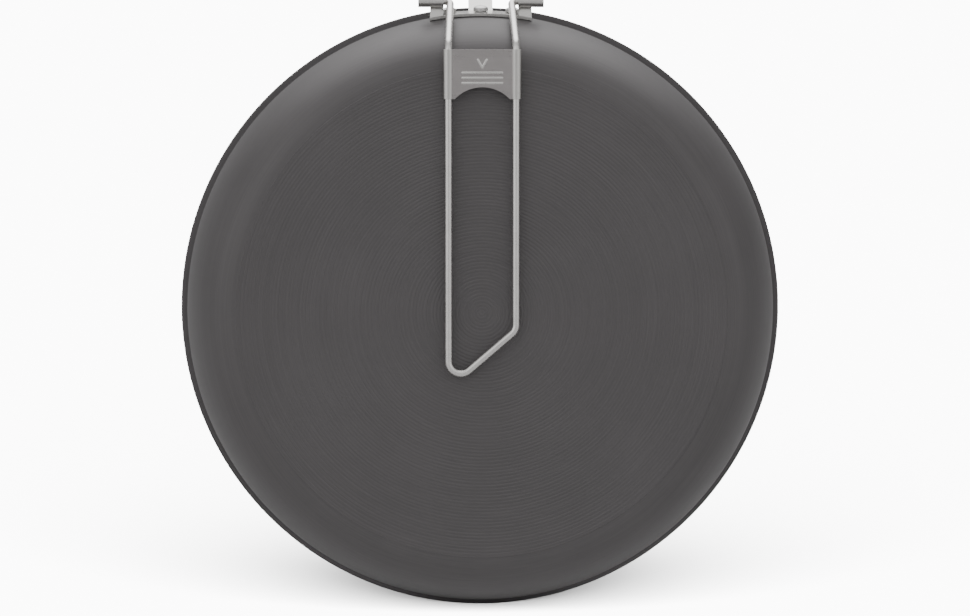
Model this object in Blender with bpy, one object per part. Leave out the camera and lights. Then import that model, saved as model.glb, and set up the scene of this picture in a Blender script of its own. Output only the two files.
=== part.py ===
"""Camping frying pan with a wire handle that folds flat against the base.

Every piece is modelled in the pan's own frame, with the pan upside down: the base's outer face lies at
z = 0 and looks up, the rim is below it, and the handle's bracket is on the +Y side. The assembly empty
then turns the whole pan on its rim, so that the base looks towards -Y and the bracket is at the top.
"""
import math

import bmesh
import bpy
from mathutils import Matrix, Vector

# Pan body, in metres. The wall is a quarter of an ellipse between the base and the rim.
RIM_RADIUS = 0.125
RIM_THICKNESS = 0.0016
RIM_EDGE_ROUND = 0.0004
RIM_LIP_ROUND = 0.001
PAN_DEPTH = 0.048
BASE_RADIUS = 0.100
BASE_STEP = 0.0003
WALL_TOP_RADIUS = 0.1223
WALL_THICKNESS = 0.0018
WALL_STEPS = 10
PAN_SEGMENTS = 96

# Gap kept between pieces that touch on the real pan.
CLEARANCE = 0.0003

# Handle wire: two pins on the pivot's axis, two legs that slant down to a knee, and a skewed tip.
WIRE_RADIUS = 0.0015
PIVOT_Y = 0.1271
PIVOT_DEPTH = 0.0305
PIN_REACH = 0.0255
ELBOW_HALF_GAP = 0.0126
ELBOW_BEND = 0.0026
KNEE_Y = 0.109
KNEE_BEND = 0.006
LEG_HALF_GAP = 0.01367
LEG_HEIGHT = 0.0038
TIP_LEFT_Y = -0.0301
TIP_RIGHT_Y = -0.0067
TIP_BEND = 0.005
WIRE_SIDES_RESOLUTION = 6
BEND_STEP = math.radians(10)

# Lock slider: a plate whose two edges are rolled around the legs.
SLIDER_TOP_Y = 0.1069
SLIDER_LENGTH = 0.0201
SLIDER_SHEET = 0.0005
SLIDER_PLAY = 0.00015
SLIDER_PLATE_HEIGHT = 0.0011
ROLL_END_ANGLE = math.radians(330)
ROLL_STEP = math.radians(14)
RELIEF_LENGTH = 0.006
RELIEF_BELOW = 0.0002
THUMB_NOTCH_HALF_WIDTH = 0.0111
THUMB_NOTCH_DEPTH = 0.0048
THUMB_NOTCH_SEGMENTS = 72

# Bracket: a plate on the pan's wall, two arms with knuckles for the pins, and the locking tongue.
BRACKET_SHEET = 0.0012
PLATE_HALF_WIDTH = 0.021
PLATE_NEAR_DEPTH = 0.029
PLATE_FAR_DEPTH = 0.0415
PLATE_COLUMNS = 14
PLATE_ROWS = 6
ARM_INNER_X = 0.0156
ARM_OUTER_X = 0.0209
ARM_ROOT_Y = 0.12015
ARM_ROOT_DEPTH = 0.0296
ARM_END_Y = 0.1262
ARM_END_DEPTH = 0.0322
KNUCKLE_INNER_X = 0.0161
KNUCKLE_OUTER_X = 0.0259
KNUCKLE_RADIUS = 0.0024
KNUCKLE_BORE_PLAY = 0.00008
CHEEK_INNER_X = 0.0154
CHEEK_OUTER_X = 0.0162
CHEEK_RADIUS = 0.0029
ROUND_SEGMENTS = 24
TONGUE_HALF_WIDTH = 0.005
TONGUE_BEND = 0.004
TONGUE_FLAT = 0.0042
TONGUE_TIP_GAP = 0.0005

# Rivets: a tall domed head on the bracket and a low one inside the pan.
RIVET_SPACING = 0.013
RIVET_DEPTH = 0.035
SHANK_RADIUS = 0.002
HOLE_LENGTH = 0.016
OUTER_HEAD_RADIUS = 0.00305
OUTER_HEAD_HEIGHT = 0.0022
INNER_HEAD_RADIUS = 0.0036
INNER_HEAD_HEIGHT = 0.0012
HEAD_EDGE_SHARE = 0.35
HEAD_STEPS = 5

SMOOTH_ANGLE = math.radians(35)
MERGE_DISTANCE = 1e-7

WALL_RUN = WALL_TOP_RADIUS - BASE_RADIUS
WALL_HEIGHT = PAN_DEPTH - RIM_THICKNESS - BASE_STEP
ROLL_RADIUS = WIRE_RADIUS + SLIDER_PLAY + SLIDER_SHEET / 2
LOWEST_FACE = LEG_HEIGHT + ROLL_RADIUS + SLIDER_SHEET / 2

# The tongue's tip lies just under the slider's plate when the handle is swung open by half a turn.
TONGUE_TIP_Y = 2 * PIVOT_Y - SLIDER_TOP_Y - TONGUE_TIP_GAP
TONGUE_TOP_DEPTH = 2 * PIVOT_DEPTH + LEG_HEIGHT + SLIDER_PLATE_HEIGHT - SLIDER_SHEET / 2 - CLEARANCE
TONGUE_MID_DEPTH = TONGUE_TOP_DEPTH - BRACKET_SHEET / 2


def clear_scene():
    for obj in list(bpy.data.objects):
        bpy.data.objects.remove(obj, do_unlink=True)


def metal(name, color, roughness, metallic):
    material = bpy.data.materials.new(name)
    material.use_nodes = True
    shader = material.node_tree.nodes["Principled BSDF"]
    shader.inputs["Base Color"].default_value = (*color, 1.0)
    shader.inputs["Roughness"].default_value = roughness
    shader.inputs["Metallic"].default_value = metallic
    return material


def link(obj, parent=None):
    bpy.context.scene.collection.objects.link(obj)
    obj.parent = parent
    return obj


def finished_mesh(name, bm, material=None):
    """Turn a bmesh into a mesh with outward faces."""
    bmesh.ops.recalc_face_normals(bm, faces=bm.faces)
    mesh = bpy.data.meshes.new(name)
    bm.to_mesh(mesh)
    bm.free()
    mesh.shade_smooth()
    mesh.set_sharp_from_angle(angle=SMOOTH_ANGLE)
    if material:
        mesh.materials.append(material)
    return mesh


def mesh_object(name, bm, material=None, parent=None):
    return link(bpy.data.objects.new(name, finished_mesh(name, bm, material)), parent)


def as_guide(obj):
    """Hide an object that only shapes another one."""
    obj.hide_render = True
    obj.display_type = "WIRE"
    return obj


def add_boolean(obj, operation, guide):
    modifier = obj.modifiers.new(guide.name, "BOOLEAN")
    modifier.operation = operation
    modifier.solver = "EXACT"
    modifier.object = guide


def turned(bm, profile, segments):
    """Spin an open (radius, z) profile, which starts and ends on the Z axis, into a closed body."""
    verts = [bm.verts.new((radius, 0, z)) for radius, z in profile]
    edges = [bm.edges.new(pair) for pair in zip(verts, verts[1:])]
    bmesh.ops.spin(bm, geom=verts + edges, cent=(0, 0, 0), axis=(0, 0, 1), dvec=(0, 0, 0),
                   angle=2 * math.pi, steps=segments, use_merge=True)
    bmesh.ops.remove_doubles(bm, verts=bm.verts, dist=MERGE_DISTANCE)


def rounded_path(points, radii):
    """Replace each inner corner of a path with an arc of its radius."""
    path = [points[0]]
    for before, corner, after, radius in zip(points, points[1:], points[2:], radii):
        arrive = (corner - before).normalized()
        leave = (after - corner).normalized()
        turn = arrive.angle(leave)
        reach = radius * math.tan(turn / 2)
        centre = corner + (leave - arrive).normalized() * radius / math.cos(turn / 2)
        start = corner - arrive * reach - centre
        axis = arrive.cross(leave)
        steps = max(2, math.ceil(turn / BEND_STEP))
        path += [centre + Matrix.Rotation(turn * i / steps, 3, axis) @ start for i in range(steps + 1)]
    return path + [points[-1]]


def sheet_solid(bm, path, thickness, along, start, end):
    """Give a path in a plane the sheet's thickness and run it along the third axis, 0 for X, 1 for Y."""
    rows = []
    for index, point in enumerate(path):
        arrive = (point - path[index - 1]).normalized() if index else None
        leave = (path[index + 1] - point).normalized() if index + 1 < len(path) else None
        arrive = arrive or leave
        leave = leave or arrive
        side_a = Vector((-arrive.y, arrive.x))
        side_b = Vector((-leave.y, leave.x))
        mitre = (side_a + side_b).normalized()
        offset = mitre * (thickness / 2) / mitre.dot(side_a)
        corners = []
        for place in (start, end):
            for sign in (1, -1):
                across, up = point + sign * offset
                corners.append(bm.verts.new((place, across, up) if along == 0 else (across, place, up)))
        rows.append(corners)
    for near, far in zip(rows, rows[1:]):
        for a, b in ((0, 1), (1, 3), (3, 2), (2, 0)):
            bm.faces.new((near[a], near[b], far[b], far[a]))
    for row in (rows[0], rows[-1]):
        bm.faces.new((row[0], row[1], row[3], row[2]))


def rod_along_x(bm, radius, x_start, x_end):
    """A closed cylinder on the handle's pivot axis."""
    turn = Matrix.Rotation(math.pi / 2, 4, "Y")
    middle = Matrix.Translation(((x_start + x_end) / 2, PIVOT_Y, -PIVOT_DEPTH))
    bmesh.ops.create_cone(bm, cap_ends=True, segments=ROUND_SEGMENTS, radius1=radius, radius2=radius,
                          depth=abs(x_end - x_start), matrix=middle @ turn)


def wall_turn(depth):
    """Where on the wall's curve a depth below the base lies, from 0 at the base to 1 at the rim."""
    return math.acos(1 - (depth - BASE_STEP) / WALL_HEIGHT) / (math.pi / 2)


def wall_point(turn, outset=0.0):
    """Radius, z and outward normal of the wall's outer curve, moved out by outset."""
    angle = turn * math.pi / 2
    normal = Vector((math.sin(angle) / WALL_RUN, math.cos(angle) / WALL_HEIGHT)).normalized()
    radius = BASE_RADIUS + WALL_RUN * math.sin(angle) + outset * normal.x
    z = -BASE_STEP - WALL_HEIGHT * (1 - math.cos(angle)) + outset * normal.y
    return radius, z, normal


def pan_profile():
    profile = [(0, 0), (BASE_RADIUS - BASE_STEP, 0)]
    profile += [wall_point(i / WALL_STEPS)[:2] for i in range(WALL_STEPS + 1)]
    rim_under = -(PAN_DEPTH - RIM_THICKNESS)
    flat_radius = RIM_RADIUS - RIM_EDGE_ROUND
    profile += [(flat_radius, rim_under), (RIM_RADIUS, rim_under - RIM_EDGE_ROUND)]
    profile += [(RIM_RADIUS, -PAN_DEPTH + RIM_EDGE_ROUND), (flat_radius, -PAN_DEPTH)]
    inner_radius = WALL_TOP_RADIUS - WALL_THICKNESS
    for quarter in (0, 0.5, 1):
        angle = quarter * math.pi / 2
        radius = inner_radius + RIM_LIP_ROUND * (1 - math.sin(angle))
        profile.append((radius, -PAN_DEPTH + RIM_LIP_ROUND * (1 - math.cos(angle))))
    profile += [wall_point(i / WALL_STEPS, -WALL_THICKNESS)[:2] for i in range(WALL_STEPS, -1, -1)]
    return profile + [(0, -BASE_STEP - WALL_THICKNESS)]


def rivet_frames():
    """Name and placement of each rivet: its origin on the wall's outer face, its +Z outwards."""
    radius, z, normal = wall_point(wall_turn(RIVET_DEPTH))
    frames = {}
    for name, x in (("left", -RIVET_SPACING), ("center", 0.0), ("right", RIVET_SPACING)):
        outwards = Vector((x, math.sqrt(radius ** 2 - x ** 2), 0)).normalized()
        axis = outwards * normal.x + Vector((0, 0, normal.y))
        spot = Matrix.Translation(outwards * radius + Vector((0, 0, z)))
        frames[name] = spot @ axis.to_track_quat("Z", "Y").to_matrix().to_4x4()
    return frames


def make_rivet_holes():
    bm = bmesh.new()
    for frame in rivet_frames().values():
        bmesh.ops.create_cone(bm, cap_ends=True, segments=ROUND_SEGMENTS, radius1=SHANK_RADIUS + CLEARANCE,
                              radius2=SHANK_RADIUS + CLEARANCE, depth=HOLE_LENGTH, matrix=frame)
    return as_guide(mesh_object("rivet_holes", bm))


def make_pan_body(parent, holes):
    bm = bmesh.new()
    turned(bm, pan_profile(), PAN_SEGMENTS)
    anodised = metal("anodised_aluminium", (0.085, 0.083, 0.084), 0.5, 0.6)
    pan = mesh_object("pan_body", bm, anodised, parent)
    add_boolean(pan, "DIFFERENCE", holes)


def dome(radius, height, base_z, direction):
    """Profile points of a domed head from its edge to its middle."""
    points = [(radius, base_z + direction * height * HEAD_EDGE_SHARE)]
    for i in range(1, HEAD_STEPS + 1):
        angle = math.pi / 2 * i / HEAD_STEPS
        rise = HEAD_EDGE_SHARE + (1 - HEAD_EDGE_SHARE) * math.sin(angle)
        points.append((radius * math.cos(angle), base_z + direction * height * rise))
    points[-1] = (0, points[-1][1])
    return points


def make_rivets(parent):
    steel = metal("rivet_steel", (0.62, 0.61, 0.60), 0.3, 1.0)
    outer_seat = BRACKET_SHEET + 2 * CLEARANCE
    inner_seat = -WALL_THICKNESS - CLEARANCE
    outer = dome(OUTER_HEAD_RADIUS, OUTER_HEAD_HEIGHT, outer_seat, 1)
    inner = dome(INNER_HEAD_RADIUS, INNER_HEAD_HEIGHT, inner_seat, -1)
    profile = outer[::-1] + [(OUTER_HEAD_RADIUS, outer_seat), (SHANK_RADIUS, outer_seat)]
    profile += [(SHANK_RADIUS, inner_seat), (INNER_HEAD_RADIUS, inner_seat)] + inner
    bm = bmesh.new()
    turned(bm, profile, ROUND_SEGMENTS)
    mesh = finished_mesh("rivet", bm, steel)
    for name, frame in rivet_frames().items():
        rivet = link(bpy.data.objects.new(f"rivet_{name}", mesh), parent)
        rivet.matrix_local = frame


def make_bracket_plate(parent, material):
    """The plate follows the wall's curve, one clearance away from it."""
    bm = bmesh.new()
    near = wall_turn(PLATE_NEAR_DEPTH)
    far = wall_turn(PLATE_FAR_DEPTH)
    rows = []
    for i in range(PLATE_ROWS + 1):
        radius, z, _ = wall_point(near + (far - near) * i / PLATE_ROWS, CLEARANCE)
        half_angle = math.asin(PLATE_HALF_WIDTH / radius)
        angles = [half_angle * (2 * j / PLATE_COLUMNS - 1) for j in range(PLATE_COLUMNS + 1)]
        rows.append([bm.verts.new((radius * math.sin(a), radius * math.cos(a), z)) for a in angles])
    for low, high in zip(rows, rows[1:]):
        for a, b, c, d in zip(low, low[1:], high[1:], high):
            bm.faces.new((a, b, c, d))
    plate = mesh_object("bracket", bm, material, parent)
    if plate.data.polygons[0].normal.y < 0:
        plate.data.flip_normals()
    solidify = plate.modifiers.new("sheet", "SOLIDIFY")
    solidify.thickness = BRACKET_SHEET
    solidify.offset = 1.0
    solidify.use_even_offset = True
    return plate


def make_arms():
    bm = bmesh.new()
    path = [Vector((ARM_ROOT_Y, -ARM_ROOT_DEPTH)), Vector((ARM_END_Y, -ARM_END_DEPTH))]
    for side in (1, -1):
        sheet_solid(bm, path, BRACKET_SHEET, 0, side * ARM_INNER_X, side * ARM_OUTER_X)
    return as_guide(mesh_object("bracket_arms", bm))


def make_rods(name, radius, spans):
    bm = bmesh.new()
    for x_start, x_end in spans:
        rod_along_x(bm, radius, x_start, x_end)
    return as_guide(mesh_object(name, bm))


def make_tongue():
    """The tongue leaves the plate's far edge, slants past the rim and ends parallel to the open legs."""
    radius, z, _ = wall_point(wall_turn(PLATE_FAR_DEPTH), CLEARANCE + BRACKET_SHEET / 2)
    root = Vector((0, radius, z + BRACKET_SHEET))
    knee = Vector((0, TONGUE_TIP_Y - TONGUE_FLAT, -TONGUE_MID_DEPTH))
    tip = Vector((0, TONGUE_TIP_Y, -TONGUE_MID_DEPTH))
    path = [Vector((p.y, p.z)) for p in rounded_path([root, knee, tip], [TONGUE_BEND])]
    bm = bmesh.new()
    sheet_solid(bm, path, BRACKET_SHEET, 0, -TONGUE_HALF_WIDTH, TONGUE_HALF_WIDTH)
    return as_guide(mesh_object("bracket_tongue", bm))


def make_bracket(parent, holes):
    bracket = make_bracket_plate(parent, metal("bracket_steel", (0.64, 0.62, 0.60), 0.32, 1.0))
    knuckles = [(side * KNUCKLE_INNER_X, side * KNUCKLE_OUTER_X) for side in (1, -1)]
    cheeks = [(side * CHEEK_INNER_X, side * CHEEK_OUTER_X) for side in (1, -1)]
    bore_radius = (WIRE_RADIUS + KNUCKLE_BORE_PLAY) / math.cos(math.pi / ROUND_SEGMENTS)
    bore_reach = KNUCKLE_OUTER_X + BRACKET_SHEET
    add_boolean(bracket, "UNION", make_arms())
    add_boolean(bracket, "UNION", make_rods("bracket_knuckles", KNUCKLE_RADIUS, knuckles))
    add_boolean(bracket, "UNION", make_rods("bracket_cheeks", CHEEK_RADIUS, cheeks))
    add_boolean(bracket, "UNION", make_tongue())
    add_boolean(bracket, "DIFFERENCE", make_rods("pin_bores", bore_radius, [(-bore_reach, bore_reach)]))
    add_boolean(bracket, "DIFFERENCE", holes)


def make_handle_wire(parent):
    """One bent wire from pin to pin, with its origin on the pivot's axis."""
    knee_drop = PIVOT_DEPTH + LEG_HEIGHT
    points = []
    for side, tip_y in ((-1, TIP_LEFT_Y), (1, TIP_RIGHT_Y)):
        leg = [(side * PIN_REACH, 0, 0), (side * ELBOW_HALF_GAP, 0, 0),
               (side * LEG_HALF_GAP, KNEE_Y - PIVOT_Y, knee_drop),
               (side * LEG_HALF_GAP, tip_y - PIVOT_Y, knee_drop)]
        points += leg if side < 0 else leg[::-1]
    bends = [ELBOW_BEND, KNEE_BEND, TIP_BEND, TIP_BEND, KNEE_BEND, ELBOW_BEND]
    path = rounded_path([Vector(point) for point in points], bends)
    curve = bpy.data.curves.new("handle_wire", "CURVE")
    curve.dimensions = "3D"
    curve.bevel_depth = WIRE_RADIUS
    curve.bevel_resolution = WIRE_SIDES_RESOLUTION
    curve.use_fill_caps = True
    spline = curve.splines.new("POLY")
    spline.points.add(len(path) - 1)
    for target, point in zip(spline.points, path):
        target.co = (*point, 1)
    curve.materials.append(metal("handle_steel", (0.66, 0.64, 0.61), 0.28, 1.0))
    wire = link(bpy.data.objects.new("handle_wire", curve), parent)
    wire.location = (0, PIVOT_Y, -PIVOT_DEPTH)
    return wire


def slider_section():
    """The sheet's middle line across the slider, from the left roll's end to the right roll's end."""
    start = math.asin(SLIDER_PLATE_HEIGHT / ROLL_RADIUS)
    steps = math.ceil((ROLL_END_ANGLE - start) / ROLL_STEP)
    right = []
    for i in range(steps + 1):
        angle = start + (ROLL_END_ANGLE - start) * i / steps
        right.append(Vector((LEG_HALF_GAP - ROLL_RADIUS * math.cos(angle), ROLL_RADIUS * math.sin(angle))))
    left = [Vector((-point.x, point.y)) for point in reversed(right)]
    return left + right


def make_lock_slider(wire):
    """The slider rides on the wire: its origin is at the middle of its top edge, between the legs."""
    bm = bmesh.new()
    sheet_solid(bm, slider_section(), SLIDER_SHEET, 1, -SLIDER_LENGTH, 0)
    steel = metal("slider_steel", (0.60, 0.58, 0.56), 0.34, 1.0)
    slider = mesh_object("lock_slider", bm, steel, wire)
    slider.location = (0, SLIDER_TOP_Y - PIVOT_Y, PIVOT_DEPTH + LEG_HEIGHT)

    notch = bmesh.new()
    radius = (THUMB_NOTCH_HALF_WIDTH ** 2 + THUMB_NOTCH_DEPTH ** 2) / (2 * THUMB_NOTCH_DEPTH)
    centre_y = -SLIDER_LENGTH + THUMB_NOTCH_DEPTH - radius
    bmesh.ops.create_cone(notch, cap_ends=True, segments=THUMB_NOTCH_SEGMENTS, radius1=radius,
                          radius2=radius, depth=LOWEST_FACE, matrix=Matrix.Translation((0, centre_y, 0)))
    thumb_notch = as_guide(mesh_object("thumb_notch", notch, parent=slider))
    add_boolean(slider, "DIFFERENCE", thumb_notch)

    relief = bmesh.new()
    size = (2 * (LEG_HALF_GAP + LOWEST_FACE), 2 * RELIEF_LENGTH, 2 * LOWEST_FACE)
    spot = Matrix.Translation((0, 0, -RELIEF_BELOW - LOWEST_FACE))
    bmesh.ops.create_cube(relief, size=1, matrix=spot @ Matrix.Diagonal((*size, 1)))
    knee_relief = as_guide(mesh_object("knee_relief", relief, parent=slider))
    add_boolean(slider, "DIFFERENCE", knee_relief)


def make_assembly():
    """Stand the pan on its rim, centred on the origin, with its base towards -Y."""
    assembly = link(bpy.data.objects.new("assembly", None))
    assembly.rotation_euler = (math.pi / 2, 0, 0)
    assembly.location = (0, (LOWEST_FACE - TONGUE_TOP_DEPTH) / 2, RIM_RADIUS)
    return assembly


def main():
    clear_scene()
    assembly = make_assembly()
    holes = make_rivet_holes()
    make_pan_body(assembly, holes)
    make_bracket(assembly, holes)
    make_rivets(assembly)
    wire = make_handle_wire(assembly)
    make_lock_slider(wire)
    for obj in bpy.data.objects:
        if obj.display_type == "WIRE" and obj.parent is None:
            obj.parent = assembly


main()
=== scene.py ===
"""Looks of the camping frying pan: fine geometry, procedural materials, studio light and camera.

As in the part's source, every piece is modelled in the pan's own frame, with the pan upside down: the base
lies at z = 0 and looks up, the rim is below it and the bracket is on the +Y side. PAN_TO_WORLD then stands
the pan on its rim.
"""
import math

import bmesh
import bpy
from mathutils import Matrix, Vector


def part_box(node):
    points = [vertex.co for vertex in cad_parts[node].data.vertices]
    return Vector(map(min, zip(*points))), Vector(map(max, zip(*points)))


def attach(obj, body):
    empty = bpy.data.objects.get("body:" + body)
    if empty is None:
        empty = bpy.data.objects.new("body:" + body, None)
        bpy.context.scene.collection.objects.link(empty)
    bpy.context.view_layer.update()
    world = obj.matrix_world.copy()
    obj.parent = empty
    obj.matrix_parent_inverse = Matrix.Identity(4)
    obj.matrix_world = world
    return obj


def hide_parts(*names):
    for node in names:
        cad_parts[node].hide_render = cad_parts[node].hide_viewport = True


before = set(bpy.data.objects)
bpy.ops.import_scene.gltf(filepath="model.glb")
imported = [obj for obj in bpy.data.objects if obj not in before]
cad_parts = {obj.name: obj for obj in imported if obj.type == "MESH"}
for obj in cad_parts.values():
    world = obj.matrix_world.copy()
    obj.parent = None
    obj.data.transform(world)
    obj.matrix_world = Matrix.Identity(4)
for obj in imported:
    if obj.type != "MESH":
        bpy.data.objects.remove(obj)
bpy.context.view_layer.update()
PAN_LOW, PAN_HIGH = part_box("pan_body")
RIM_RADIUS = (PAN_HIGH.x - PAN_LOW.x) / 2
PAN_DEPTH = PAN_HIGH.y - PAN_LOW.y
PAN_TO_WORLD = Matrix.Translation((0, PAN_LOW.y, RIM_RADIUS)) @ Matrix.Rotation(math.pi / 2, 4, "X")

# Pan, in metres, as in the CAD model.
BASE_RADIUS = 0.100
RIM_ROOT_ROUND = 0.0004
RIM_EDGE_FLAT = 0.00002
RIM_LIP_ROUND = 0.001
INSIDE_STARTS = 0.0012
COATING_STARTS = 0.0014
BASE_STEP = 0.0003
RIM_THICKNESS = 0.0016
WALL_TOP_RADIUS = 0.1223
WALL_THICKNESS = 0.0018
WALL_RUN = WALL_TOP_RADIUS - BASE_RADIUS
WALL_HEIGHT = PAN_DEPTH - RIM_THICKNESS - BASE_STEP
CLEARANCE = 0.0003

# Fine shape of the pan.
RIDGE_COUNT = 71
RIDGE_SAMPLES = 6
RIDGE_DEPTH = 0.0001
PAN_SEGMENTS = 288
WALL_SAMPLES = 48
COATING_THICKNESS = 0.00012
COATING_SINK = 0.00001

# Handle wire.
WIRE_RADIUS = 0.0015
PIVOT_Y = 0.1271
PIVOT_DEPTH = 0.0305
PIN_REACH = 0.0255
ELBOW_HALF_GAP = 0.0126
ELBOW_BEND = 0.0026
KNEE_Y = 0.109
KNEE_BEND = 0.006
LEG_HALF_GAP = 0.01367
LEG_HEIGHT = 0.0038
TIP_LEFT_Y = -0.0301
TIP_RIGHT_Y = -0.0067
TIP_BEND = 0.005
WIRE_SIDES = 40
BEND_STEP = math.radians(3)
PIN_END_ROUND = 0.0004
PIN_END_ANGLES = (20, 40, 60, 80)

# Lock slider.
SLIDER_TOP_Y = 0.1069
SLIDER_LENGTH = 0.0201
SLIDER_SHEET = 0.0005
SLIDER_PLAY = 0.00015
SLIDER_PLATE_HEIGHT = 0.0011
ROLL_END_ANGLE = math.radians(330)
ROLL_STEP = math.radians(6)
RELIEF_LENGTH = 0.006
RELIEF_BELOW = 0.0002
THUMB_NOTCH_HALF_WIDTH = 0.0111
THUMB_NOTCH_DEPTH = 0.0048
THUMB_NOTCH_SEGMENTS = 180
SLIDER_EDGE = 0.00012

# Plain raised marks on the slider: a chevron over three grip bars.
MARK_WIDTH = 0.0009
MARK_HEIGHT = 0.00022
MARK_SINK = 0.0001
MARK_STAGGER = 0.00002
MARK_TOP_SHARE = 0.55
MARK_END_STEPS = 8
CHEVRON_TIP = 0.0074
CHEVRON_HALF_WIDTH = 0.0018
CHEVRON_RISE = 0.0032
BAR_COUNT = 3
BAR_TOP = 0.0094
BAR_PITCH = 0.0021
BAR_HALF_LENGTH = 0.0080
# Painted highlight: the marks' steel is lighter than the plate's, for the light their raised tops catch.
MARK_HIGHLIGHT_COLOR = (0.64, 0.63, 0.61)
# Painted shade and highlight on one steel sheet: the flat plate painted darker, the rolled sides painted
# lighter, fading in between the two distances from the middle below.
PLATE_SHADED_COLOR = (0.39, 0.368, 0.365)
ROLL_HIGHLIGHT_COLOR = (0.56, 0.55, 0.53)
ROLL_HIGHLIGHT_FROM = 0.0118
ROLL_HIGHLIGHT_FULL = 0.0130

# Bracket.
BRACKET_SHEET = 0.0012
PLATE_HALF_WIDTH = 0.021
PLATE_NEAR_DEPTH = 0.029
PLATE_FAR_DEPTH = 0.0415
PLATE_COLUMNS = 40
PLATE_ROWS = 16
ARM_INNER_X = 0.0156
ARM_OUTER_X = 0.0209
ARM_ROOT_Y = 0.12015
ARM_ROOT_DEPTH = 0.0296
ARM_END_Y = 0.1262
ARM_END_DEPTH = 0.0322
KNUCKLE_INNER_X = 0.0161
KNUCKLE_OUTER_X = 0.0259
KNUCKLE_RADIUS = 0.0024
KNUCKLE_BORE_PLAY = 0.00008
CHEEK_INNER_X = 0.0154
CHEEK_OUTER_X = 0.0162
CHEEK_RADIUS = 0.0029
ROUND_SEGMENTS = 64
TONGUE_HALF_WIDTH = 0.005
TONGUE_BEND = 0.004
TONGUE_FLAT = 0.0042
TONGUE_TIP_GAP = 0.0005
BRACKET_EDGE = 0.00022

# Rivets.
RIVET_SPACING = 0.013
RIVET_DEPTH = 0.035
SHANK_RADIUS = 0.002
OUTER_HEAD_RADIUS = 0.00305
OUTER_HEAD_HEIGHT = 0.0022
INNER_HEAD_RADIUS = 0.0036
INNER_HEAD_HEIGHT = 0.0012
HEAD_STEPS = 14
HEAD_EDGE_SHARE = 0.35

SMOOTH_ANGLE = math.radians(35)

# Stage and light. The camera sees the floor and the surroundings as white, whatever light they give.
FLOOR_HALF_SIZE = 6
FLOOR_SEEN = 0.24
FLOOR_BOUNCE = 0.014
FLOOR_KEY_POWER = 320
FLOOR_KEY_SOFTNESS = math.radians(50)
FLOOR_KEY_DIRECTION = (0.02, 2.0, -1)
WHITE_SEEN = 14
LIGHT_HORIZON = 1.25
LIGHT_TOP = 0.75
LIGHT_LEFT = 1.15
LIGHT_RIGHT = 0.85
LIGHT_FRONT = 1.6
LIGHT_BACK = 0.4
LIGHT_AT_CAMERA = 0.42
LIGHT_OVERHEAD = 3.9
OVERHEAD_DIRECTION = (0, 0.4, 0.917)
OVERHEAD_EDGE = 0.70
OVERHEAD_FULL = 0.985

# Camera, at the photo's viewing angle. Its distance is to the plane of the rim.
CAMERA_DISTANCE = 1.556
CAMERA_LENS = 137.8
CAMERA_SENSOR = 36
CAMERA_NEAR = 0.05
CAMERA_AZIMUTH = math.radians(-1.0)
CAMERA_ELEVATION = math.radians(3.2)
CAMERA_SHIFT_RIGHT = 0.00200
CAMERA_SHIFT_DOWN = 0.00055

ROLL_RADIUS = WIRE_RADIUS + SLIDER_PLAY + SLIDER_SHEET / 2
LOWEST_FACE = LEG_HEIGHT + ROLL_RADIUS + SLIDER_SHEET / 2
TONGUE_TIP_Y = 2 * PIVOT_Y - SLIDER_TOP_Y - TONGUE_TIP_GAP
TONGUE_TOP_DEPTH = 2 * PIVOT_DEPTH + LEG_HEIGHT + SLIDER_PLATE_HEIGHT - SLIDER_SHEET / 2 - CLEARANCE
TONGUE_MID_DEPTH = TONGUE_TOP_DEPTH - BRACKET_SHEET / 2


# ---- geometry helpers ----

def mesh_object(name, bm):
    bmesh.ops.recalc_face_normals(bm, faces=bm.faces)
    mesh = bpy.data.meshes.new(name)
    bm.to_mesh(mesh)
    bm.free()
    obj = bpy.data.objects.new(name, mesh)
    bpy.context.scene.collection.objects.link(obj)
    return obj


def smooth(obj):
    obj.data.shade_smooth()
    obj.data.set_sharp_from_angle(angle=SMOOTH_ANGLE)


def turned(bm, profile, segments):
    """Closed body of revolution about Z from an open (radius, z) profile that starts and ends on the axis."""
    rings = []
    for radius, z in profile:
        if radius == 0:
            rings.append([bm.verts.new((0, 0, z))])
            continue
        angles = [2 * math.pi * i / segments for i in range(segments)]
        rings.append([bm.verts.new((radius * math.cos(a), radius * math.sin(a), z)) for a in angles])
    for near, far in zip(rings, rings[1:]):
        for i in range(segments):
            k = (i + 1) % segments
            corners = [near[i % len(near)], near[k % len(near)], far[k % len(far)], far[i % len(far)]]
            bm.faces.new(list(dict.fromkeys(corners)))


def rounded_path(points, radii):
    """Replace each inner corner of a path with an arc of its radius."""
    path = [points[0]]
    for before, corner, after, radius in zip(points, points[1:], points[2:], radii):
        arrive = (corner - before).normalized()
        leave = (after - corner).normalized()
        turn = arrive.angle(leave)
        reach = radius * math.tan(turn / 2)
        centre = corner + (leave - arrive).normalized() * radius / math.cos(turn / 2)
        start = corner - arrive * reach - centre
        axis = arrive.cross(leave)
        steps = max(2, math.ceil(turn / BEND_STEP))
        path += [centre + Matrix.Rotation(turn * i / steps, 3, axis) @ start for i in range(steps + 1)]
    return path + [points[-1]]


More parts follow.
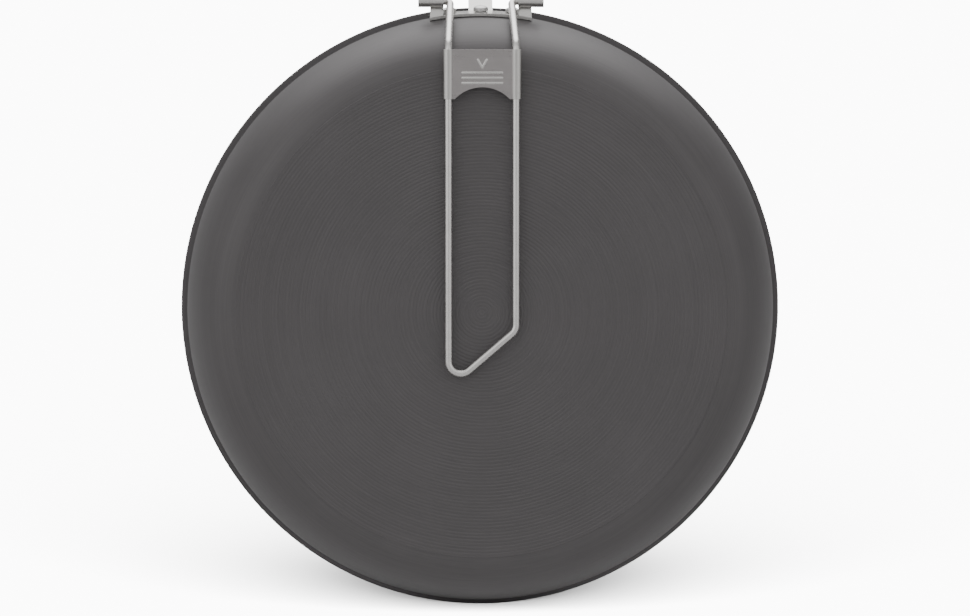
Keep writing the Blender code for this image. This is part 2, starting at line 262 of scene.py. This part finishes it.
def sheet_solid(bm, path, thickness, along, start, end):
    """Give a path in a plane the sheet's thickness and run it along the third axis, 0 for X, 1 for Y."""
    rows = []
    for index, point in enumerate(path):
        arrive = (point - path[index - 1]).normalized() if index else None
        leave = (path[index + 1] - point).normalized() if index + 1 < len(path) else None
        arrive = arrive or leave
        leave = leave or arrive
        side_a = Vector((-arrive.y, arrive.x))
        side_b = Vector((-leave.y, leave.x))
        mitre = (side_a + side_b).normalized()
        offset = mitre * (thickness / 2) / mitre.dot(side_a)
        corners = []
        for place in (start, end):
            for sign in (1, -1):
                across, up = point + sign * offset
                corners.append(bm.verts.new((place, across, up) if along == 0 else (across, place, up)))
        rows.append(corners)
    for near, far in zip(rows, rows[1:]):
        for a, b in ((0, 1), (1, 3), (3, 2), (2, 0)):
            bm.faces.new((near[a], near[b], far[b], far[a]))
    for row in (rows[0], rows[-1]):
        bm.faces.new((row[0], row[1], row[3], row[2]))


def apply_modifiers(obj):
    evaluated = obj.evaluated_get(bpy.context.evaluated_depsgraph_get())
    mesh = bpy.data.meshes.new_from_object(evaluated)
    obj.modifiers.clear()
    obj.data = mesh


def boolean(obj, operation, tool):
    modifier = obj.modifiers.new(tool.name, "BOOLEAN")
    modifier.operation = operation
    modifier.solver = "EXACT"
    modifier.object = tool
    apply_modifiers(obj)
    bpy.data.objects.remove(tool, do_unlink=True)


def soften(obj, width, segments=2):
    """Round the sharp edges a little, as tumbling does."""
    modifier = obj.modifiers.new("edges", "BEVEL")
    modifier.width = width
    modifier.segments = segments
    modifier.limit_method = "ANGLE"
    modifier.angle_limit = SMOOTH_ANGLE
    modifier.use_clamp_overlap = True
    smooth(obj)
    flatter = obj.modifiers.new("normals", "WEIGHTED_NORMAL")
    flatter.keep_sharp = True
    apply_modifiers(obj)


def finish_piece(obj, material, body, replaced=None):
    """Stand the piece up with the pan and hand it to its CAD body."""
    if not obj.data.has_custom_normals:
        smooth(obj)
    obj.data.materials.clear()
    obj.data.materials.append(material)
    obj.data.transform(PAN_TO_WORLD)
    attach(obj, body)
    if replaced:
        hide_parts(replaced)
    return obj


# ---- material helpers ----

class Nodes:
    """Short ways to wire a material."""

    def __init__(self, name):
        self.material = bpy.data.materials.new(name)
        self.material.use_nodes = True
        self.tree = self.material.node_tree
        self.shader = self.tree.nodes["Principled BSDF"]
        self.place = self.new("ShaderNodeTexCoord").outputs["Object"]

    def new(self, kind, **settings):
        node = self.tree.nodes.new(kind)
        for key, value in settings.items():
            setattr(node, key, value)
        return node

    def link(self, source, target):
        self.tree.links.new(source, target)

    def stretched(self, scale):
        mapping = self.new("ShaderNodeMapping")
        mapping.inputs["Scale"].default_value = scale
        self.link(self.place, mapping.inputs["Vector"])
        return mapping.outputs["Vector"]

    def noise(self, vector, scale, detail=3.0, roughness=0.55):
        node = self.new("ShaderNodeTexNoise")
        node.inputs["Scale"].default_value = scale
        node.inputs["Detail"].default_value = detail
        node.inputs["Roughness"].default_value = roughness
        self.link(vector, node.inputs["Vector"])
        return node.outputs["Fac"]

    def math(self, operation, a, b=None):
        node = self.new("ShaderNodeMath", operation=operation)
        for socket, value in zip(node.inputs, (a, b)):
            if value is None:
                continue
            if isinstance(value, (int, float)):
                socket.default_value = value
            else:
                self.link(value, socket)
        return node.outputs[0]

    def spread(self, value, low, high, from_low=0.3, from_high=0.7):
        """Map a noise value to a range."""
        node = self.new("ShaderNodeMapRange")
        node.inputs["From Min"].default_value = from_low
        node.inputs["From Max"].default_value = from_high
        node.inputs["To Min"].default_value = low
        node.inputs["To Max"].default_value = high
        self.link(value, node.inputs["Value"])
        return node.outputs["Result"]

    def ramp(self, value, low_color, high_color):
        node = self.new("ShaderNodeMix", data_type="RGBA")
        self.link(value, node.inputs[0])
        node.inputs[6].default_value = (*low_color, 1)
        node.inputs[7].default_value = (*high_color, 1)
        return node.outputs[2]

    def bump(self, height, strength, distance, normal=None):
        node = self.new("ShaderNodeBump")
        node.inputs["Strength"].default_value = strength
        node.inputs["Distance"].default_value = distance
        self.link(height, node.inputs["Height"])
        if normal:
            self.link(normal, node.inputs["Normal"])
        return node.outputs["Normal"]

    def radius(self):
        """Distance from the pan's axis, which is along Y at the rim's centre height."""
        shift = self.new("ShaderNodeVectorMath", operation="SUBTRACT")
        self.link(self.place, shift.inputs[0])
        shift.inputs[1].default_value = (0, 0, RIM_RADIUS)
        flat = self.new("ShaderNodeVectorMath", operation="MULTIPLY")
        self.link(shift.outputs[0], flat.inputs[0])
        flat.inputs[1].default_value = (1, 0, 1)
        length = self.new("ShaderNodeVectorMath", operation="LENGTH")
        self.link(flat.outputs[0], length.inputs[0])
        return length.outputs["Value"]

    def along_radius(self, turns_scale):
        """Coordinates that change fast with radius and slowly round the axis, for lathe marks."""
        join = self.new("ShaderNodeCombineXYZ")
        self.link(self.radius(), join.inputs[0])
        split = self.new("ShaderNodeSeparateXYZ")
        self.link(self.place, split.inputs[0])
        self.link(split.outputs["Y"], join.inputs[1])
        self.link(self.math("MULTIPLY", split.outputs["X"], turns_scale), join.inputs[2])
        return join.outputs[0]


def anodised_aluminium():
    """Hard anodised aluminium: dark warm grey, satin, with faint lathe marks and a fine etched grain."""
    n = Nodes("anodised_aluminium")
    lathe = n.noise(n.along_radius(0.02), 2600, 2.0)
    cloud = n.noise(n.place, 28, 4.0)
    grain = n.noise(n.place, 5200, 2.0)
    tone = n.math("ADD", n.spread(cloud, 0.0, 0.45), n.spread(lathe, 0.0, 0.55))
    n.link(n.ramp(tone, (0.078, 0.073, 0.0745), (0.102, 0.0955, 0.0975)), n.shader.inputs["Base Color"])
    n.shader.inputs["Metallic"].default_value = 0.25
    n.link(n.spread(cloud, 0.48, 0.56), n.shader.inputs["Roughness"])
    first = n.bump(lathe, 0.35, 0.00002)
    n.link(n.bump(grain, 0.30, 0.00001, first), n.shader.inputs["Normal"])
    return n.material


def nonstick_coating():
    """Non-stick coating: near black with a fine speckle of lighter flakes and a low gloss."""
    n = Nodes("nonstick_coating")
    cells = n.new("ShaderNodeTexVoronoi", feature="F1")
    cells.inputs["Scale"].default_value = 900
    n.link(n.place, cells.inputs["Vector"])
    fleck = n.spread(cells.outputs["Distance"], 1.0, 0.0, 0.10, 0.22)
    sparse = n.spread(n.noise(n.place, 420, 1.0), 0.0, 1.0, 0.52, 0.62)
    flakes = n.math("MULTIPLY", fleck, sparse)
    n.link(n.ramp(flakes, (0.022, 0.022, 0.023), (0.16, 0.155, 0.15)), n.shader.inputs["Base Color"])
    n.shader.inputs["Specular IOR Level"].default_value = 0.45
    grain = n.noise(n.place, 2600, 3.0)
    n.link(n.spread(grain, 0.34, 0.48), n.shader.inputs["Roughness"])
    n.link(n.bump(grain, 0.35, 0.00002), n.shader.inputs["Normal"])
    return n.material


def brushed_steel(name, color, roughness, stretch, scratch=0.25, roll_highlight=None):
    """Satin stainless steel: fine lines along the part, soft smudges and, on the slider, rolled sides painted
    lighter as a painted highlight.
    """
    n = Nodes(name)
    lines = n.noise(n.stretched(stretch), 1.0, 3.0, 0.6)
    smudge = n.noise(n.place, 140, 3.0)
    dark = tuple(c * 0.86 for c in color)
    tone = n.math("ADD", n.spread(lines, 0.0, 0.5), n.spread(smudge, 0.0, 0.5))
    base = n.ramp(tone, dark, color)
    if roll_highlight:
        # Painted highlight: the slider's rolled sides are painted lighter than its flat plate, for the light
        # on their curve.
        split = n.new("ShaderNodeSeparateXYZ")
        n.link(n.place, split.inputs[0])
        aside = n.math("ABSOLUTE", split.outputs["X"])
        highlight_mix = n.new("ShaderNodeMix", data_type="RGBA")
        n.link(n.spread(aside, 0.0, 1.0, ROLL_HIGHLIGHT_FROM, ROLL_HIGHLIGHT_FULL), highlight_mix.inputs[0])
        n.link(base, highlight_mix.inputs[6])
        highlight_mix.inputs[7].default_value = (*roll_highlight, 1)
        base = highlight_mix.outputs[2]
    n.link(base, n.shader.inputs["Base Color"])
    n.shader.inputs["Metallic"].default_value = 1.0
    rough = n.math("ADD", n.spread(lines, roughness - 0.05, roughness + 0.05), n.spread(smudge, -0.03, 0.04))
    n.link(rough, n.shader.inputs["Roughness"])
    n.link(n.bump(lines, scratch, 0.00002), n.shader.inputs["Normal"])
    return n.material


# ---- the pan ----

def wall_turn(depth):
    """Where on the wall's curve a depth below the base lies, from 0 at the base to 1 at the rim."""
    return math.acos(1 - (depth - BASE_STEP) / WALL_HEIGHT) / (math.pi / 2)


def wall_point(turn, outset=0.0):
    """Radius, z and outward normal of the wall's outer curve, moved out by outset."""
    angle = turn * math.pi / 2
    normal = Vector((math.sin(angle) / WALL_RUN, math.cos(angle) / WALL_HEIGHT)).normalized()
    radius = BASE_RADIUS + WALL_RUN * math.sin(angle) + outset * normal.x
    z = -BASE_STEP - WALL_HEIGHT * (1 - math.cos(angle)) + outset * normal.y
    return radius, z, normal


def arc(centre, radius, start, end, steps):
    """Points of an arc in the (radius, z) plane, angles in degrees from the outward direction."""
    angles = [math.radians(start + (end - start) * i / steps) for i in range(steps + 1)]
    return [(centre[0] + radius * math.cos(a), centre[1] + radius * math.sin(a)) for a in angles]


def ridged_base():
    """Turned ridges: rounded crests at z = 0 with narrower valleys between them."""
    points = []
    flat = BASE_RADIUS - 2 * BASE_STEP
    pitch = flat / RIDGE_COUNT
    for i in range(RIDGE_COUNT * RIDGE_SAMPLES):
        phase = (i / RIDGE_SAMPLES) % 1
        valley = 1 - abs(math.sin(math.pi * phase))
        points.append((pitch * i / RIDGE_SAMPLES, -RIDGE_DEPTH * valley))
    return points + [(flat, -RIDGE_DEPTH / 2)]


def inner_profile(inset):
    """The inside from the lip to the axis, moved into the metal by a negative inset."""
    points = []
    for i in range(WALL_SAMPLES, -1, -1):
        radius, z, _ = wall_point(i / WALL_SAMPLES, -WALL_THICKNESS - inset)
        points.append((radius, z))
    return points + [(0, -BASE_STEP - WALL_THICKNESS - inset)]


def make_pan(material):
    edge = RIM_THICKNESS / 2 - RIM_EDGE_FLAT
    rim_middle = -PAN_DEPTH + RIM_THICKNESS / 2
    profile = ridged_base() + arc((BASE_RADIUS - BASE_STEP, -BASE_STEP), BASE_STEP, 90, 20, 5)
    profile += [wall_point(i / WALL_SAMPLES)[:2] for i in range(1, WALL_SAMPLES)]
    profile += arc((WALL_TOP_RADIUS + RIM_ROOT_ROUND, -PAN_DEPTH + RIM_THICKNESS + RIM_ROOT_ROUND),
                   RIM_ROOT_ROUND, 190, 270, 5)
    profile += arc((RIM_RADIUS - edge, rim_middle), edge, 90, -90, 12)
    lip = WALL_TOP_RADIUS - WALL_THICKNESS
    profile += arc((lip + RIM_LIP_ROUND, -PAN_DEPTH + RIM_LIP_ROUND), RIM_LIP_ROUND, 270, 180, 6)
    profile += [point for point in inner_profile(0) if point[1] > -PAN_DEPTH + INSIDE_STARTS]
    bm = bmesh.new()
    turned(bm, profile, PAN_SEGMENTS)
    return finish_piece(mesh_object("pan_shell", bm), material, "pan", "pan_body")


def make_coating(material):
    """A closed thin skin on the inside of the wall and base."""
    lip_z = -PAN_DEPTH + COATING_STARTS
    under = [point for point in inner_profile(-COATING_SINK) if point[1] > lip_z]
    over = [point for point in inner_profile(COATING_THICKNESS) if point[1] > lip_z]
    bm = bmesh.new()
    turned(bm, under[::-1] + over, PAN_SEGMENTS)
    return finish_piece(mesh_object("nonstick_skin", bm), material, "pan")


# ---- rivets ----

def rivet_frames():
    """Name and placement of each rivet: its origin on the wall's outer face, its +Z outwards."""
    radius, z, normal = wall_point(wall_turn(RIVET_DEPTH))
    frames = {}
    for name, x in (("left", -RIVET_SPACING), ("center", 0.0), ("right", RIVET_SPACING)):
        outwards = Vector((x, math.sqrt(radius ** 2 - x ** 2), 0)).normalized()
        axis = outwards * normal.x + Vector((0, 0, normal.y))
        spot = Matrix.Translation(outwards * radius + Vector((0, 0, z)))
        frames[name] = spot @ axis.to_track_quat("Z", "Y").to_matrix().to_4x4()
    return frames


def dome(radius, height, base_z, direction):
    """Profile points of a domed head from its edge to its middle."""
    points = [(radius, base_z + direction * height * HEAD_EDGE_SHARE)]
    for i in range(1, HEAD_STEPS + 1):
        angle = math.pi / 2 * i / HEAD_STEPS
        rise = HEAD_EDGE_SHARE + (1 - HEAD_EDGE_SHARE) * math.sin(angle)
        points.append((radius * math.cos(angle), base_z + direction * height * rise))
    points[-1] = (0, points[-1][1])
    return points


def make_rivets(material):
    outer_seat = BRACKET_SHEET + 2 * CLEARANCE
    inner_seat = -WALL_THICKNESS - CLEARANCE
    outer = dome(OUTER_HEAD_RADIUS, OUTER_HEAD_HEIGHT, outer_seat, 1)
    inner = dome(INNER_HEAD_RADIUS, INNER_HEAD_HEIGHT, inner_seat, -1)
    profile = outer[::-1] + [(OUTER_HEAD_RADIUS, outer_seat), (SHANK_RADIUS, outer_seat)]
    profile += [(SHANK_RADIUS, inner_seat), (INNER_HEAD_RADIUS, inner_seat)] + inner
    for name, place in rivet_frames().items():
        bm = bmesh.new()
        turned(bm, profile, ROUND_SEGMENTS)
        rivet = mesh_object(f"rivet_head_{name}", bm)
        rivet.data.transform(place)
        finish_piece(rivet, material, "pan", f"rivet_{name}")


# ---- bracket ----

def rods(name, radius, spans):
    bm = bmesh.new()
    turn = Matrix.Rotation(math.pi / 2, 4, "Y")
    for x_start, x_end in spans:
        middle = Matrix.Translation(((x_start + x_end) / 2, PIVOT_Y, -PIVOT_DEPTH))
        bmesh.ops.create_cone(bm, cap_ends=True, segments=ROUND_SEGMENTS, radius1=radius, radius2=radius,
                              depth=abs(x_end - x_start), matrix=middle @ turn)
    return mesh_object(name, bm)


def make_bracket(material):
    near = wall_turn(PLATE_NEAR_DEPTH)
    far = wall_turn(PLATE_FAR_DEPTH)
    layers = []
    for outset in (CLEARANCE, CLEARANCE + BRACKET_SHEET):
        for i in range(PLATE_ROWS + 1):
            radius, z, _ = wall_point(near + (far - near) * i / PLATE_ROWS, outset)
            half_angle = math.asin(PLATE_HALF_WIDTH / radius)
            angles = [half_angle * (2 * j / PLATE_COLUMNS - 1) for j in range(PLATE_COLUMNS + 1)]
            layers.append([(radius * math.sin(a), radius * math.cos(a), z) for a in angles])
    bm = bmesh.new()
    grid = [[bm.verts.new(point) for point in row] for row in layers]
    rows, columns = PLATE_ROWS + 1, PLATE_COLUMNS + 1
    for base in (0, rows):
        for i in range(PLATE_ROWS):
            for j in range(PLATE_COLUMNS):
                low, high = grid[base + i], grid[base + i + 1]
                bm.faces.new((low[j], low[j + 1], high[j + 1], high[j]))
    for i in (0, PLATE_ROWS):
        for j in range(PLATE_COLUMNS):
            bm.faces.new((grid[i][j], grid[i][j + 1], grid[rows + i][j + 1], grid[rows + i][j]))
    for j in (0, PLATE_COLUMNS):
        for i in range(PLATE_ROWS):
            bm.faces.new((grid[i][j], grid[i + 1][j], grid[rows + i + 1][j], grid[rows + i][j]))
    bracket = mesh_object("bracket_sheet", bm)

    arms = bmesh.new()
    path = [Vector((ARM_ROOT_Y, -ARM_ROOT_DEPTH)), Vector((ARM_END_Y, -ARM_END_DEPTH))]
    for side in (1, -1):
        sheet_solid(arms, path, BRACKET_SHEET, 0, side * ARM_INNER_X, side * ARM_OUTER_X)
    boolean(bracket, "UNION", mesh_object("arms", arms))

    knuckles = [(side * KNUCKLE_INNER_X, side * KNUCKLE_OUTER_X) for side in (1, -1)]
    cheeks = [(side * CHEEK_INNER_X, side * CHEEK_OUTER_X) for side in (1, -1)]
    boolean(bracket, "UNION", rods("knuckles", KNUCKLE_RADIUS, knuckles))
    boolean(bracket, "UNION", rods("cheeks", CHEEK_RADIUS, cheeks))

    radius, z, _ = wall_point(wall_turn(PLATE_FAR_DEPTH), CLEARANCE + BRACKET_SHEET / 2)
    root = Vector((0, radius, z + BRACKET_SHEET))
    knee = Vector((0, TONGUE_TIP_Y - TONGUE_FLAT, -TONGUE_MID_DEPTH))
    tip = Vector((0, TONGUE_TIP_Y, -TONGUE_MID_DEPTH))
    path = [Vector((p.y, p.z)) for p in rounded_path([root, knee, tip], [TONGUE_BEND])]
    tongue = bmesh.new()
    sheet_solid(tongue, path, BRACKET_SHEET, 0, -TONGUE_HALF_WIDTH, TONGUE_HALF_WIDTH)
    boolean(bracket, "UNION", mesh_object("tongue", tongue))

    bore_radius = WIRE_RADIUS + KNUCKLE_BORE_PLAY
    bore_reach = KNUCKLE_OUTER_X + BRACKET_SHEET
    boolean(bracket, "DIFFERENCE", rods("pin_bores", bore_radius, [(-bore_reach, bore_reach)]))
    holes = bmesh.new()
    for place in rivet_frames().values():
        bmesh.ops.create_cone(holes, cap_ends=True, segments=ROUND_SEGMENTS, radius1=SHANK_RADIUS + CLEARANCE,
                              radius2=SHANK_RADIUS + CLEARANCE, depth=4 * OUTER_HEAD_RADIUS, matrix=place)
    boolean(bracket, "DIFFERENCE", mesh_object("holes", holes))
    soften(bracket, BRACKET_EDGE)
    return finish_piece(bracket, material, "pan", "bracket")


# ---- handle ----

def handle_path():
    knee_drop = PIVOT_DEPTH + LEG_HEIGHT
    points = []
    for side, tip_y in ((-1, TIP_LEFT_Y), (1, TIP_RIGHT_Y)):
        leg = [(side * PIN_REACH, 0, 0), (side * ELBOW_HALF_GAP, 0, 0),
               (side * LEG_HALF_GAP, KNEE_Y - PIVOT_Y, knee_drop),
               (side * LEG_HALF_GAP, tip_y - PIVOT_Y, knee_drop)]
        points += leg if side < 0 else leg[::-1]
    bends = [ELBOW_BEND, KNEE_BEND, TIP_BEND, TIP_BEND, KNEE_BEND, ELBOW_BEND]
    pivot = Vector((0, PIVOT_Y, -PIVOT_DEPTH))
    return [pivot + point for point in rounded_path([Vector(point) for point in points], bends)]


def make_handle(material):
    """A round wire swept along the path, with rounded pin ends."""
    path = handle_path()
    first = (path[0] - path[1]).normalized()
    last = (path[-1] - path[-2]).normalized()
    angles = [math.radians(angle) for angle in PIN_END_ANGLES]
    rings = [(path[0] - first * PIN_END_ROUND * (1 - math.sin(a)),
              WIRE_RADIUS - PIN_END_ROUND * (1 - math.cos(a))) for a in reversed(angles)]
    rings += [(point, WIRE_RADIUS) for point in path[1:-1]]
    rings += [(path[-1] - last * PIN_END_ROUND * (1 - math.sin(a)),
               WIRE_RADIUS - PIN_END_ROUND * (1 - math.cos(a))) for a in angles]
    bm = bmesh.new()
    side = Vector((0, 0, 1))
    loops = []
    for index, (centre, radius) in enumerate(rings):
        before = rings[max(index - 1, 0)][0]
        after = rings[min(index + 1, len(rings) - 1)][0]
        tangent = (after - before).normalized()
        side = (side - tangent * side.dot(tangent)).normalized()
        other = tangent.cross(side)
        angles = [2 * math.pi * i / WIRE_SIDES for i in range(WIRE_SIDES)]
        loops.append([bm.verts.new(centre + radius * (side * math.cos(a) + other * math.sin(a)))
                      for a in angles])
    for near, far in zip(loops, loops[1:]):
        for i in range(WIRE_SIDES):
            k = (i + 1) % WIRE_SIDES
            bm.faces.new((near[i], near[k], far[k], far[i]))
    bm.faces.new(loops[0])
    bm.faces.new(loops[-1])
    return finish_piece(mesh_object("handle_wire_fine", bm), material, "handle",
                        "handle_wire")


# ---- lock slider ----

def slider_section():
    """The sheet's middle line across the slider, from the left roll's end to the right roll's end."""
    start = math.asin(SLIDER_PLATE_HEIGHT / ROLL_RADIUS)
    steps = math.ceil((ROLL_END_ANGLE - start) / ROLL_STEP)
    right = []
    for i in range(steps + 1):
        angle = start + (ROLL_END_ANGLE - start) * i / steps
        right.append(Vector((LEG_HALF_GAP - ROLL_RADIUS * math.cos(angle), ROLL_RADIUS * math.sin(angle))))
    left = [Vector((-point.x, point.y)) for point in reversed(right)]
    return left + right


def make_slider(material):
    bm = bmesh.new()
    sheet_solid(bm, slider_section(), SLIDER_SHEET, 1, -SLIDER_LENGTH, 0)
    slider = mesh_object("lock_slider_fine", bm)
    notch = bmesh.new()
    radius = (THUMB_NOTCH_HALF_WIDTH ** 2 + THUMB_NOTCH_DEPTH ** 2) / (2 * THUMB_NOTCH_DEPTH)
    centre_y = -SLIDER_LENGTH + THUMB_NOTCH_DEPTH - radius
    bmesh.ops.create_cone(notch, cap_ends=True, segments=THUMB_NOTCH_SEGMENTS, radius1=radius,
                          radius2=radius, depth=LOWEST_FACE, matrix=Matrix.Translation((0, centre_y, 0)))
    boolean(slider, "DIFFERENCE", mesh_object("notch", notch))
    relief = bmesh.new()
    size = (2 * (LEG_HALF_GAP + LOWEST_FACE), 2 * RELIEF_LENGTH, 2 * LOWEST_FACE)
    spot = Matrix.Translation((0, 0, -RELIEF_BELOW - LOWEST_FACE))
    bmesh.ops.create_cube(relief, size=1, matrix=spot @ Matrix.Diagonal((*size, 1)))
    boolean(slider, "DIFFERENCE", mesh_object("relief", relief))
    soften(slider, SLIDER_EDGE)
    slider.data.transform(Matrix.Translation((0, SLIDER_TOP_Y, LEG_HEIGHT)))
    return finish_piece(slider, material, "slider", "lock_slider")


def raised_bar(bm, start, end, width, height):
    """A flat bar with rounded ends that stands a little proud of the slider's plate."""
    face = SLIDER_PLATE_HEIGHT + SLIDER_SHEET / 2
    along = (end - start).normalized()
    side = Vector((-along.y, along.x)) * width / 2
    angle = math.atan2(side.y, side.x)
    outline = []
    for centre, first in ((start, angle), (end, angle - math.pi)):
        for i in range(MARK_END_STEPS + 1):
            a = first + math.pi * i / MARK_END_STEPS
            outline.append(centre + Vector((math.cos(a), math.sin(a))) * width / 2)
    levels = ((face - MARK_SINK, 1.0), (face + height / 2, 1.0), (face + height, MARK_TOP_SHARE))
    middle = (start + end) / 2
    half = (end - start).length / 2
    rings = []
    for level, share in levels:
        ring = []
        for point in outline:
            offset = point - middle
            run = max(-half, min(half, offset.dot(along)))
            spine = middle + along * run
            ring.append(bm.verts.new((*(spine + (point - spine) * share), level)))
        rings.append(ring)
    count = len(outline)
    for low, high in zip(rings, rings[1:]):
        for i in range(count):
            k = (i + 1) % count
            bm.faces.new((low[i], low[k], high[k], high[i]))
    bm.faces.new(rings[0])
    bm.faces.new(rings[-1])


def make_marks(material):
    """A plain chevron, and plain bars for the thumb below it."""
    bm = bmesh.new()
    tip = Vector((0, -CHEVRON_TIP))
    for side, height in ((1, MARK_HEIGHT), (-1, MARK_HEIGHT + MARK_STAGGER)):
        raised_bar(bm, tip, tip + Vector((side * CHEVRON_HALF_WIDTH, CHEVRON_RISE)), MARK_WIDTH, height)
    for row in range(BAR_COUNT):
        y = -BAR_TOP - row * BAR_PITCH
        raised_bar(bm, Vector((-BAR_HALF_LENGTH, y)), Vector((BAR_HALF_LENGTH, y)), MARK_WIDTH, MARK_HEIGHT)
    marks = mesh_object("slider_marks", bm)
    marks.data.transform(Matrix.Translation((0, SLIDER_TOP_Y, LEG_HEIGHT)))
    return finish_piece(marks, material, "slider")


# ---- stage ----

def node_tree(owner):
    """Empty node tree of a world or material, with its output node."""
    owner.use_nodes = True
    tree = owner.node_tree
    tree.nodes.clear()
    kind = "ShaderNodeOutputWorld" if isinstance(owner, bpy.types.World) else "ShaderNodeOutputMaterial"
    return tree, tree.nodes.new(kind)


def seen_or_lighting(tree, output, seen, lighting):
    """One shader where the camera looks straight at it, another where it lights the scene."""
    path = tree.nodes.new("ShaderNodeLightPath")
    mix = tree.nodes.new("ShaderNodeMixShader")
    tree.links.new(path.outputs["Is Camera Ray"], mix.inputs["Fac"])
    tree.links.new(lighting.outputs[0], mix.inputs[1])
    tree.links.new(seen.outputs[0], mix.inputs[2])
    tree.links.new(mix.outputs[0], output.inputs["Surface"])


def make_stage():
    """A plain floor that shows as white and throws little light back up at the pan."""
    bm = bmesh.new()
    bmesh.ops.create_grid(bm, x_segments=1, y_segments=1, size=FLOOR_HALF_SIZE)
    floor = mesh_object("floor", bm)
    material = bpy.data.materials.new("floor_paper")
    tree, output = node_tree(material)
    seen = tree.nodes.new("ShaderNodeBsdfDiffuse")
    seen.inputs["Color"].default_value = (FLOOR_SEEN, FLOOR_SEEN, FLOOR_SEEN, 1)
    lighting = tree.nodes.new("ShaderNodeBsdfDiffuse")
    lighting.inputs["Color"].default_value = (FLOOR_BOUNCE, FLOOR_BOUNCE, FLOOR_BOUNCE, 1)
    seen_or_lighting(tree, output, seen, lighting)
    floor.data.materials.append(material)
    return floor


def smooth_share(tree, value, start, end, low, high):
    """Map a value from start..end to low..high with soft ends."""
    share = tree.nodes.new("ShaderNodeMapRange")
    share.interpolation_type = "SMOOTHSTEP"
    for name, number in (("From Min", start), ("From Max", end), ("To Min", low), ("To Max", high)):
        share.inputs[name].default_value = number
    tree.links.new(value, share.inputs["Value"])
    return share.outputs["Result"]


def combined(tree, operation, first, second):
    node = tree.nodes.new("ShaderNodeMath")
    node.operation = operation
    tree.links.new(first, node.inputs[0])
    tree.links.new(second, node.inputs[1])
    return node.outputs[0]


def make_light(floor):
    """White surroundings, soft light that is strongest in front, and a brighter patch high at the back."""
    world = bpy.data.worlds.new("studio")
    bpy.context.scene.world = world
    tree, output = node_tree(world)
    place = tree.nodes.new("ShaderNodeTexCoord")
    split = tree.nodes.new("ShaderNodeSeparateXYZ")
    tree.links.new(place.outputs["Generated"], split.inputs[0])
    strength = None
    for axis, start, end, low, high in (("Z", 0.0, 1.0, LIGHT_HORIZON, LIGHT_TOP),
                                        ("X", -1.0, 1.0, LIGHT_LEFT, LIGHT_RIGHT),
                                        ("Y", -1.0, 0.5, LIGHT_FRONT, LIGHT_BACK),
                                        ("Y", -1.0, -0.75, LIGHT_AT_CAMERA, 1.0)):
        share = smooth_share(tree, split.outputs[axis], start, end, low, high)
        strength = combined(tree, "MULTIPLY", strength, share) if strength else share
    towards = tree.nodes.new("ShaderNodeVectorMath")
    towards.operation = "DOT_PRODUCT"
    tree.links.new(place.outputs["Generated"], towards.inputs[0])
    towards.inputs[1].default_value = OVERHEAD_DIRECTION
    overhead = smooth_share(tree, towards.outputs["Value"], OVERHEAD_EDGE, OVERHEAD_FULL, 0, LIGHT_OVERHEAD)
    strength = combined(tree, "ADD", strength, overhead)
    lighting = tree.nodes.new("ShaderNodeBackground")
    tree.links.new(strength, lighting.inputs["Strength"])
    seen = tree.nodes.new("ShaderNodeBackground")
    seen.inputs["Strength"].default_value = WHITE_SEEN
    seen_or_lighting(tree, output, seen, lighting)

    receivers = bpy.data.collections.new("floor_only")
    receivers.objects.link(floor)
    key = bpy.data.lights.new("floor_key", "SUN")
    key.energy = FLOOR_KEY_POWER
    key.angle = FLOOR_KEY_SOFTNESS
    lamp = bpy.data.objects.new("floor_key", key)
    bpy.context.scene.collection.objects.link(lamp)
    lamp.light_linking.receiver_collection = receivers
    lamp.rotation_euler = Vector(FLOOR_KEY_DIRECTION).to_track_quat("-Z", "Y").to_euler()


def make_camera():
    azimuth, elevation = CAMERA_AZIMUTH, CAMERA_ELEVATION
    back = Vector((math.sin(azimuth) * math.cos(elevation), -math.cos(azimuth) * math.cos(elevation),
                   math.sin(elevation)))
    right = Vector((math.cos(azimuth), math.sin(azimuth), 0))
    up = back.cross(right)
    rim_centre = Vector((0, PAN_HIGH.y, RIM_RADIUS))
    target = rim_centre + CAMERA_SHIFT_RIGHT * right - CAMERA_SHIFT_DOWN * up
    camera = bpy.data.cameras.new("camera")
    camera.lens = CAMERA_LENS
    camera.sensor_width = CAMERA_SENSOR
    camera.clip_start = CAMERA_NEAR
    obj = bpy.data.objects.new("camera", camera)
    bpy.context.scene.collection.objects.link(obj)
    obj.matrix_world = Matrix.Translation(target + back * CAMERA_DISTANCE) @ Matrix((
        (right.x, up.x, back.x), (right.y, up.y, back.y), (right.z, up.z, back.z))).to_4x4()
    bpy.context.scene.camera = obj


make_pan(anodised_aluminium())
make_coating(nonstick_coating())
make_rivets(brushed_steel("rivet_steel", (0.60, 0.59, 0.58), 0.30, (900, 900, 900)))
make_bracket(brushed_steel("bracket_steel", (0.66, 0.65, 0.63), 0.30, (300, 900, 2500)))
make_handle(brushed_steel("wire_steel", (0.76, 0.74, 0.725), 0.27, (900, 900, 60), 0.05))
# The slider's plate is painted darker and its rolled sides lighter, as painted shade and highlight.
make_slider(brushed_steel("slider_steel", PLATE_SHADED_COLOR, 0.32, (160, 900, 2600), 0.12, ROLL_HIGHLIGHT_COLOR))
# The marks are painted lighter than the plate, as a painted highlight.
make_marks(brushed_steel("mark_steel", MARK_HIGHLIGHT_COLOR, 0.28, (900, 900, 900), 0.10))
make_light(make_stage())
make_camera()
